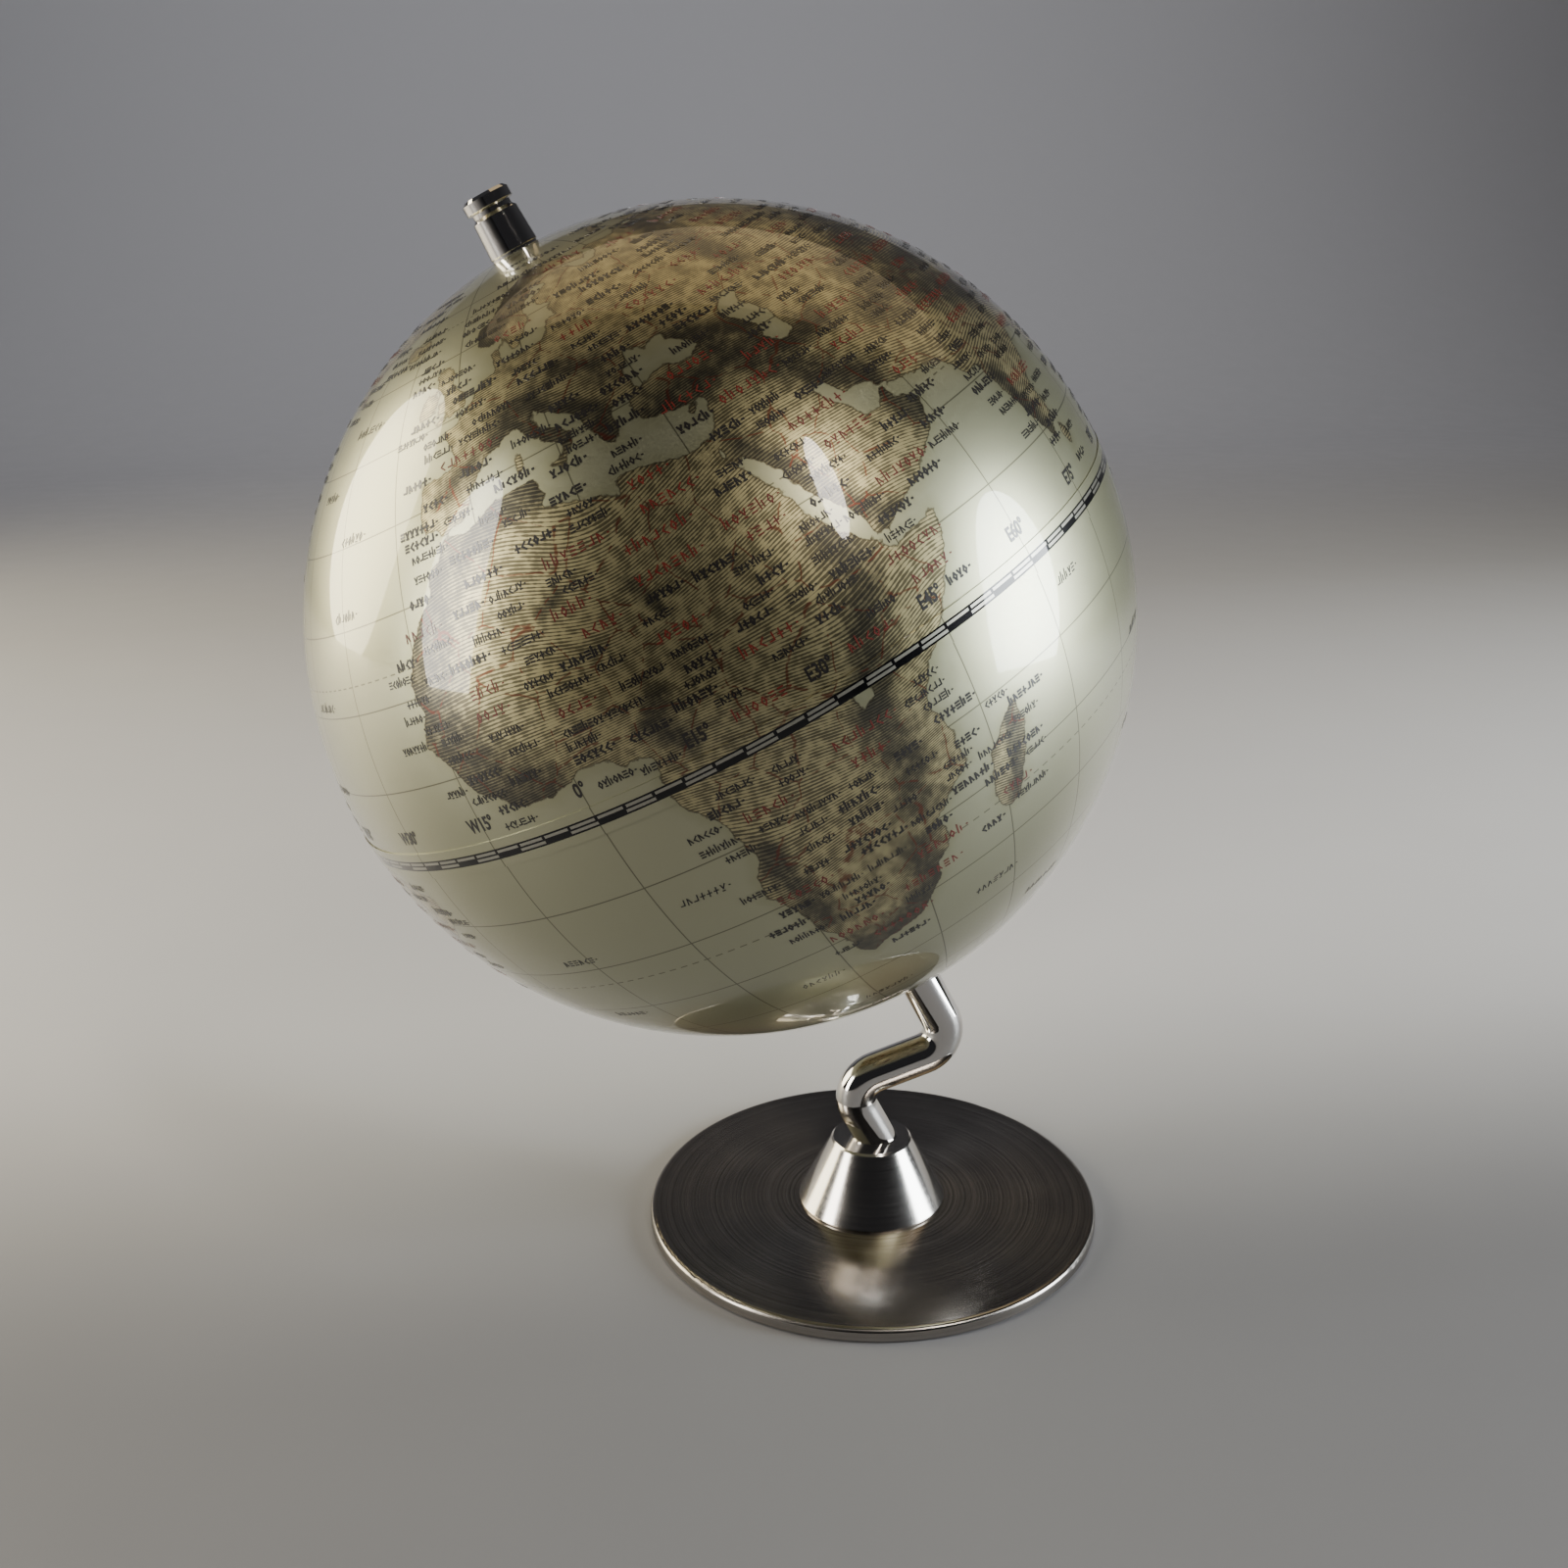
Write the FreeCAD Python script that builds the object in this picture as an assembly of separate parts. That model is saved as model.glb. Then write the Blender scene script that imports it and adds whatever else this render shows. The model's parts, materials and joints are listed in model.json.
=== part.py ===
import FreeCAD, Part
import math
import os

# Desktop globe on a bent-rod stand, in millimetres.
# +Z is up, the origin is the centre of the foot pad's underside, and the globe leans towards -X.
# The ball and all that sits on its axle are drawn about an upright axis, with the ball's centre
# at the origin, and are then tilted and lifted into place together.

V = FreeCAD.Vector

# Ball
ball_dia = 130.0
map_thick = 0.3
shell_thick = 1.8
glue_line = 0.05
tape_width = 4.2
tape_thick = 0.1
pole_hole_dia = 8.0
axis_tilt = 27.0

# Stand rod: three straight legs joined by two tight bends
rod_dia = 7.2
lower_leg = 12.1
middle_leg = 21.0
middle_rise = 18.0
upper_leg = 21.3
bend_radius = 5.0
axle_dia = 5.0
thread_dia = 4.0
rod_end_chamfer = 0.4

# Base
base_dia = 80.6
base_top = 2.5
base_edge_round = 0.9
pad_dia = 74.0
pad_thick = 0.9
pad_proud = 0.4
pad_clearance = 0.2
cone_low_dia = 26.4
cone_top_dia = 14.4
cone_height = 11.9
cone_foot = 0.4
cone_edge = 0.35
rod_entry_x = 0.6
rod_bore_depth = 6.5
rod_end_gap = 0.2

# Fasteners in the base
base_screw_tip = 6.0
base_screw_socket = 2.5
base_screw_socket_deep = 1.4
tapped_hole_top = 6.4
set_screw_dia = 3.0
set_screw_length = 4.0
set_screw_socket = 1.5
set_screw_socket_deep = 1.6
set_screw_along_bore = 3.6

# Hubs at the two poles: the same bush, turned end for end
bush_face = 61.9
bush_flange_dia = 20.0
bush_flange_inner = 60.4
bush_spigot_dia = 9.0
bush_spigot_end = 50.4
bush_bore_dia = 5.1
tube_dia = 11.0
joint_ring_half = 6.0
joint_ring_thick = 1.5

# Washers and springs on the axle
washer_dia = 7.4
washer_bore = 5.2
washer_thick = 0.5
end_play = 0.05
spring_thick = 0.4
spring_count = 2
finial_seat = 64.2

# Finial knob, heights counted from the face that hides the pole hole
finial_gap = 0.2
finial_bottom_dia = 7.74
barrel_top_dia = 7.2
barrel_height = 5.45
neck_dia = 6.2
neck_bottom = 5.95
neck_top = 6.6
flange_dia = 7.5
flange_bottom = 6.8
flange_top = 8.3
finial_height = 8.75
finial_crown_dia = 6.5
finial_spigot_dia = 7.4
finial_thread_deep = 6.8
axle_thread_length = 6.5

# Worked out from the above
ball_r = ball_dia / 2
shell_outer = ball_r - map_thick - glue_line
shell_inner = shell_outer - shell_thick
pole_hole_r = pole_hole_dia / 2
cone_top = base_top + cone_height
tilt = math.radians(axis_tilt)
rise = math.radians(middle_rise)
axis_up = V(-math.sin(tilt), 0, math.cos(tilt))
middle_way = V(math.cos(rise), 0, math.sin(rise))
rod_entry = V(rod_entry_x, 0, cone_top)
lower_corner = rod_entry + axis_up * lower_leg
upper_corner = lower_corner + middle_way * middle_leg
ball_centre = upper_corner + axis_up * (upper_leg + ball_r)
finial_base = ball_r + finial_gap


def solid_of(points):
    """A solid turned about Z from a closed outline of (radius, height) corners."""
    corners = [V(radius, 0, height) for radius, height in points]
    outline = Part.makePolygon(corners + corners[:1])
    return Part.Face(outline).revolve(V(0, 0, 0), V(0, 0, 1), 360)


def on_sphere(radius, height=None, away=None):
    """The (radius, height) of a point on a sphere, from its height or its distance from the axis."""
    if away is None:
        return V(math.sqrt(radius**2 - height**2), 0, height)
    return V(away, 0, math.sqrt(radius**2 - away**2))


def ball_layer(outer, inner, low, hole_r):
    """The upper part of a hollow ball, from a height up to a round hole at the pole."""
    ends = [on_sphere(outer, height=low), on_sphere(outer, away=hole_r)]
    backs = [on_sphere(inner, away=hole_r), on_sphere(inner, height=low)]
    outer_arc = Part.Arc(ends[0], halfway(outer, *ends), ends[1]).toShape()
    inner_arc = Part.Arc(backs[0], halfway(inner, *backs), backs[1]).toShape()
    lip = Part.LineSegment(ends[1], backs[0]).toShape()
    seam = Part.LineSegment(backs[1], ends[0]).toShape()
    outline = Part.Wire([outer_arc, lip, inner_arc, seam])
    return Part.Face(outline).revolve(V(0, 0, 0), V(0, 0, 1), 360)


def ball_band(outer, inner, half):
    """A band of a hollow ball, the same height each side of the equator."""
    ends = [on_sphere(outer, height=-half), on_sphere(outer, height=half)]
    backs = [on_sphere(inner, height=half), on_sphere(inner, height=-half)]
    outer_arc = Part.Arc(ends[0], V(outer, 0, 0), ends[1]).toShape()
    inner_arc = Part.Arc(backs[0], V(inner, 0, 0), backs[1]).toShape()
    upper = Part.LineSegment(ends[1], backs[0]).toShape()
    lower = Part.LineSegment(backs[1], ends[0]).toShape()
    outline = Part.Wire([outer_arc, upper, inner_arc, lower])
    return Part.Face(outline).revolve(V(0, 0, 0), V(0, 0, 1), 360)


def halfway(radius, start, end):
    """The point on a sphere midway between two others."""
    middle = start + end
    return middle * (radius / middle.Length)


def ring(outer_dia, inner_dia, low, high):
    blank = Part.makeCylinder(outer_dia / 2, high - low, V(0, 0, low))
    return blank.cut(Part.makeCylinder(inner_dia / 2, high - low, V(0, 0, low)))


def hexagon(across_flats, low, high):
    """An upright hexagonal prism, for a key socket."""
    corner_r = across_flats / math.sqrt(3)
    corners = [
        V(corner_r * math.cos(math.radians(60 * n)), corner_r * math.sin(math.radians(60 * n)), low)
        for n in range(6)
    ]
    face = Part.Face(Part.makePolygon(corners + corners[:1]))
    return face.extrude(V(0, 0, high - low))


def below(shape):
    """The same shape at the other pole."""
    return shape.mirror(V(0, 0, 0), V(0, 0, 1))


def on_axle(shape):
    """A shape drawn about the upright axis, tilted and lifted to where the ball is."""
    placed = shape.copy()
    placed.Placement = FreeCAD.Placement(ball_centre, FreeCAD.Rotation(V(0, 1, 0), -axis_tilt))
    return placed


def base_pad():
    """A plain disc stuck into the plate's recess, over the base screw's head."""
    return Part.makeCylinder(pad_dia / 2, pad_thick)


def base_disc():
    """A thin turned plate with a rolled upper edge and a recess below for the pad."""
    blank = Part.makeCylinder(base_dia / 2, base_top - pad_proud, V(0, 0, pad_proud))
    rim = [edge for edge in blank.Edges if abs(edge.BoundBox.ZMin - base_top) < 0.01
           and edge.BoundBox.XLength > base_dia / 2]
    plate = blank.makeFillet(base_edge_round, rim)
    recess = Part.makeCylinder(pad_dia / 2 + pad_clearance, pad_thick - pad_proud, V(0, 0, pad_proud))
    return plate.cut(recess).cut(screw_head())


def screw_head():
    """The 90 degree countersunk cone between the plate's recess and its top."""
    shank_r = thread_dia / 2
    head_r = shank_r + base_top - pad_thick
    return solid_of([(0, pad_thick), (head_r, pad_thick), (shank_r, base_top), (0, base_top)])


def base_screw():
    """Countersunk socket screw, head down, that draws the cone onto the plate."""
    shank = Part.makeCylinder(thread_dia / 2, base_screw_tip - base_top, V(0, 0, base_top))
    socket = hexagon(base_screw_socket, pad_thick, pad_thick + base_screw_socket_deep)
    return screw_head().fuse(shank).cut(socket).removeSplitter()


def cone_collar():
    """A turned cone, bored on the slant for the rod and tapped below for the base screw."""
    low_r = cone_low_dia / 2
    top_r = cone_top_dia / 2
    blank = solid_of([
        (0, base_top),
        (low_r - cone_edge / 2, base_top),
        (low_r, base_top + cone_edge / 2),
        (low_r, base_top + cone_foot),
        (top_r, cone_top - cone_edge),
        (top_r - cone_edge, cone_top),
        (0, cone_top),
    ])
    bore = Part.makeCylinder(rod_dia / 2, rod_bore_depth + rod_dia, rod_entry - axis_up * rod_bore_depth,
                             axis_up)
    tapped = Part.makeCylinder(thread_dia / 2, tapped_hole_top - base_top, V(0, 0, base_top))
    seat = rod_entry - axis_up * set_screw_along_bore
    side_hole = Part.makeCylinder(set_screw_dia / 2, low_r, seat, V(0, 1, 0))
    return blank.cut(bore).cut(tapped).cut(side_hole)


def rod_set_screw():
    """Headless socket screw through the back of the cone, hard against the rod."""
    start = rod_dia / 2
    body = Part.makeCylinder(set_screw_dia / 2, set_screw_length, V(0, 0, start))
    end = start + set_screw_length
    screw = body.cut(hexagon(set_screw_socket, end - set_screw_socket_deep, end))
    screw.Placement = FreeCAD.Placement(
        rod_entry - axis_up * set_screw_along_bore, FreeCAD.Rotation(V(1, 0, 0), -90)
    )
    return screw


def rod_path(start, end):
    """The rod's centreline: straight runs through the two corners, each corner rounded by an arc."""
    points = [start, lower_corner, upper_corner, end]
    edges = []
    run_start = start
    for before, corner, after in zip(points, points[1:], points[2:]):
        way_in = (corner - before).normalize()
        way_out = (after - corner).normalize()
        turn = way_in.getAngle(way_out)
        cut_back = bend_radius * math.tan(turn / 2)
        arc_start = corner - way_in * cut_back
        arc_end = corner + way_out * cut_back
        inward = (way_out - way_in).normalize()
        centre = corner + inward * (bend_radius / math.cos(turn / 2))
        arc_middle = centre - inward * bend_radius
        edges.append(Part.LineSegment(run_start, arc_start).toShape())
        edges.append(Part.Arc(arc_start, arc_middle, arc_end).toShape())
        run_start = arc_end
    edges.append(Part.LineSegment(run_start, end).toShape())
    return Part.Wire(edges)


def support_rod():
    """One rod: bent foot, shoulder under the ball, turned-down axle and a threaded tip."""
    shoulder = bush_face + end_play + washer_thick
    start = rod_entry - axis_up * (rod_bore_depth - rod_end_gap)
    end = ball_centre - axis_up * shoulder
    section = Part.Wire(Part.makeCircle(rod_dia / 2, start, axis_up))
    bent = rod_path(start, end).makePipeShell([section], True, False)
    foot = [edge for edge in bent.Edges if (edge.CenterOfMass - start).Length < 0.01]
    bent = bent.makeChamfer(rod_end_chamfer, foot)
    tip = finial_seat + axle_thread_length
    axle = Part.makeCylinder(axle_dia / 2, finial_seat + shoulder, V(0, 0, -shoulder))
    thread = Part.makeCylinder(thread_dia / 2, tip - finial_seat, V(0, 0, finial_seat))
    return bent.fuse([on_axle(axle), on_axle(thread)]).removeSplitter()


def shell():
    """Half of the moulded ball that carries the map."""
    return ball_layer(shell_outer, shell_inner, 0, pole_hole_r)


def map_skin():
    """Half of the printed and lacquered map."""
    return ball_layer(ball_r, ball_r - map_thick, 0, pole_hole_r)


def joining_ring():
    """The ring inside the equator that both shells are glued to."""
    outer = shell_inner - glue_line
    return ball_band(outer, outer - joint_ring_thick, joint_ring_half)


def equator_tape():
    inner = ball_r + glue_line
    return ball_band(inner + tape_thick, inner, tape_width / 2)


def bush():
    """Flanged hub glued inside a shell, with a pocket outwards for the washers."""
    flange = Part.makeCylinder(bush_flange_dia / 2, ball_r - bush_flange_inner, V(0, 0, bush_flange_inner))
    flange = flange.common(Part.makeSphere(shell_inner - glue_line))
    spigot = Part.makeCylinder(bush_spigot_dia / 2, bush_flange_inner - bush_spigot_end,
                               V(0, 0, bush_spigot_end))
    pocket = Part.makeCylinder(pole_hole_r, ball_r - bush_face, V(0, 0, bush_face))
    bore = Part.makeCylinder(bush_bore_dia / 2, ball_r - bush_spigot_end, V(0, 0, bush_spigot_end))
    return flange.fuse(spigot).removeSplitter().cut(pocket).cut(bore)


def axle_tube():
    """The tube that holds the two bushes apart and leads the axle from one to the other."""
    return ring(tube_dia, bush_spigot_dia, -bush_flange_inner, bush_flange_inner)


def slip_washer():
    low = bush_face + end_play
    return ring(washer_dia, washer_bore, low, low + washer_thick)


def disc_springs():
    """Two coned spring washers, rim to rim, that press the ball down onto its lower washer."""
    low = bush_face + end_play + washer_thick
    room = (finial_seat - low) / spring_count
    lift = room - spring_thick
    outer_r = washer_dia / 2
    inner_r = washer_bore / 2
    lower = solid_of([
        (inner_r, low), (outer_r, low + lift), (outer_r, low + room), (inner_r, low + spring_thick),
    ])
    upper = lower.mirror(V(0, 0, low + room), V(0, 0, 1))
    return Part.makeCompound([lower, upper])


def finial_knob():
    """One turned knob: slightly tapered barrel, neck, and a flat head with a bevelled rim."""
    sink = finial_base - finial_seat
    knob = solid_of([
        (0, -sink),
        (finial_spigot_dia / 2, -sink),
        (finial_spigot_dia / 2, 0),
        (finial_bottom_dia / 2 - 0.12, 0),
        (finial_bottom_dia / 2, 0.12),
        (barrel_top_dia / 2, barrel_height),
        (neck_dia / 2, neck_bottom),
        (neck_dia / 2, neck_top),
        (flange_dia / 2 - 0.1, flange_bottom),
        (flange_dia / 2, flange_bottom + 0.1),
        (flange_dia / 2, flange_top),
        (finial_crown_dia / 2, finial_height),
        (0, finial_height),
    ])
    knob.translate(V(0, 0, finial_base))
    return knob.cut(Part.makeCylinder(thread_dia / 2, finial_thread_deep, V(0, 0, finial_seat)))


def all_parts():
    """Every piece by node name, at rest and in place."""
    return {
        "base_pad": base_pad(),
        "base_disc": base_disc(),
        "base_screw": base_screw(),
        "cone_collar": cone_collar(),
        "rod_set_screw": rod_set_screw(),
        "support_rod": support_rod(),
        "south_washer": on_axle(below(slip_washer())),
        "south_bush": on_axle(below(bush())),
        "axle_tube": on_axle(axle_tube()),
        "south_shell": on_axle(below(shell())),
        "north_shell": on_axle(shell()),
        "joining_ring": on_axle(joining_ring()),
        "south_map": on_axle(below(map_skin())),
        "north_map": on_axle(map_skin()),
        "equator_tape": on_axle(equator_tape()),
        "north_bush": on_axle(bush()),
        "north_washer": on_axle(slip_washer()),
        "disc_springs": on_axle(disc_springs()),
        "finial_knob": on_axle(finial_knob()),
    }


os.makedirs("parts", exist_ok=True)
for name, shape in all_parts().items():
    shape.exportStep(f"parts/{name}.step")
    box = shape.BoundBox
    print(f"{name:14s} volume {shape.Volume:10.1f} mm3, valid {shape.isValid()}, solids {len(shape.Solids)}, "
          f"z {box.ZMin:.2f} to {box.ZMax:.2f}")
print(f"ball centre {ball_centre.x:.2f}, {ball_centre.y:.2f}, {ball_centre.z:.2f}")
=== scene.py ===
import json
import math
import random

import bpy
import numpy as np
from mathutils import Matrix, Vector


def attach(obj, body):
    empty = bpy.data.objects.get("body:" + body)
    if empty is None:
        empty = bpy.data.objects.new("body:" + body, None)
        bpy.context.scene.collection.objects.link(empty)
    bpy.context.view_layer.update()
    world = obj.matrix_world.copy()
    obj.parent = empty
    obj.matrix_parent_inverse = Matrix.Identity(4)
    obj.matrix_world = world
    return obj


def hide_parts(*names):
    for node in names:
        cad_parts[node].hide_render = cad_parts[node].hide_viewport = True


# Small desk globe: lacquered metallic map on a tilted chromed rod, turned cone and brushed steel base.
# Everything is in metres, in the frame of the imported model.

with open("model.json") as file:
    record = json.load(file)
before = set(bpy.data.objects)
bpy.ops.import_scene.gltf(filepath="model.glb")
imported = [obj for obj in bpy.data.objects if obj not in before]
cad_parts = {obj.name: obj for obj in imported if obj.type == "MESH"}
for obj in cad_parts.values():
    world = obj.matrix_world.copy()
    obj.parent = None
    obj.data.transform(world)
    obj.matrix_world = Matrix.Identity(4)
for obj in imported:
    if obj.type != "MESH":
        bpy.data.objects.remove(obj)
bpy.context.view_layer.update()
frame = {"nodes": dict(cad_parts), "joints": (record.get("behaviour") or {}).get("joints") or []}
mm = 0.001

# Where the ball is, from its joint: the centre and the tilted axis it spins on
spin = frame["joints"][0]
ballCentre = Vector(spin["pos_m"])
ballAxis = Vector(spin["axis"]).normalized()

ball = {
    "radius": 65 * mm,
    "mapThick": 0.3 * mm,
    "poleHole": 4 * mm,
    "mapTurn": -113.0,      # degrees the Greenwich meridian is turned from the stand's plane
    "segments": 400,
    "rings": 200,
}
tape = {
    "halfWidth": 2.1 * mm,
    "inner": 65.05 * mm,
    "thick": 0.1 * mm,
    "barHalf": 0.78 * mm,
    "lineHalf": 0.13 * mm,
    "cellDegrees": 3.75,
    "segments": 480,
    "rings": 400,
}

eastWay = Vector((0, 1, 0)).cross(ballAxis).normalized()
ballTurn = Matrix((eastWay, ballAxis.cross(eastWay), ballAxis)).transposed()
ballTurn = ballTurn @ Matrix.Rotation(math.radians(ball["mapTurn"]), 3, "Z")
ballPlace = Matrix.Translation(ballCentre) @ ballTurn.to_4x4()
print("ball centre", [round(value * 1000, 2) for value in ballCentre], "mm")


def deselectAll():
    if bpy.context.object and bpy.context.object.mode != "OBJECT":
        bpy.ops.object.mode_set(mode="OBJECT")
    bpy.ops.object.select_all(action="DESELECT")


def takeNew(name):
    piece = bpy.context.object
    piece.name = name
    piece.data.name = name
    return piece


def applyPlace(piece):
    deselectAll()
    piece.select_set(True)
    bpy.context.view_layer.objects.active = piece
    bpy.ops.object.transform_apply(location=True, rotation=True, scale=True)


def applyModifier(piece, kind, **settings):
    deselectAll()
    piece.select_set(True)
    bpy.context.view_layer.objects.active = piece
    modifier = piece.modifiers.new(kind.title(), kind)
    for key, value in settings.items():
        setattr(modifier, key, value)
    bpy.ops.object.modifier_apply(modifier=modifier.name)


def hexColour(text):
    channels = [int(text[n:n + 2], 16) / 255 for n in (1, 3, 5)]
    return [c / 12.92 if c <= 0.04045 else ((c + 0.055) / 1.055) ** 2.4 for c in channels] + [1.0]


def newMaterial(name):
    material = bpy.data.materials.new(name)
    material.use_nodes = True
    material.node_tree.nodes.clear()
    return material, material.node_tree


def addNode(tree, kind, inputs=(), out=0, **settings):
    # Adds a node with its settings; an input is a value or another node's output
    node = tree.nodes.new("ShaderNode" + kind)
    for key, value in settings.items():
        setattr(node, key, value)
    for key, value in (inputs.items() if isinstance(inputs, dict) else enumerate(inputs)):
        if isinstance(value, bpy.types.NodeSocket):
            tree.links.new(value, node.inputs[key])
        elif value is not None:
            node.inputs[key].default_value = value
    return node.outputs[out] if node.outputs else node


# The map's coast outlines as (longitude, latitude), drawn one by one

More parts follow.
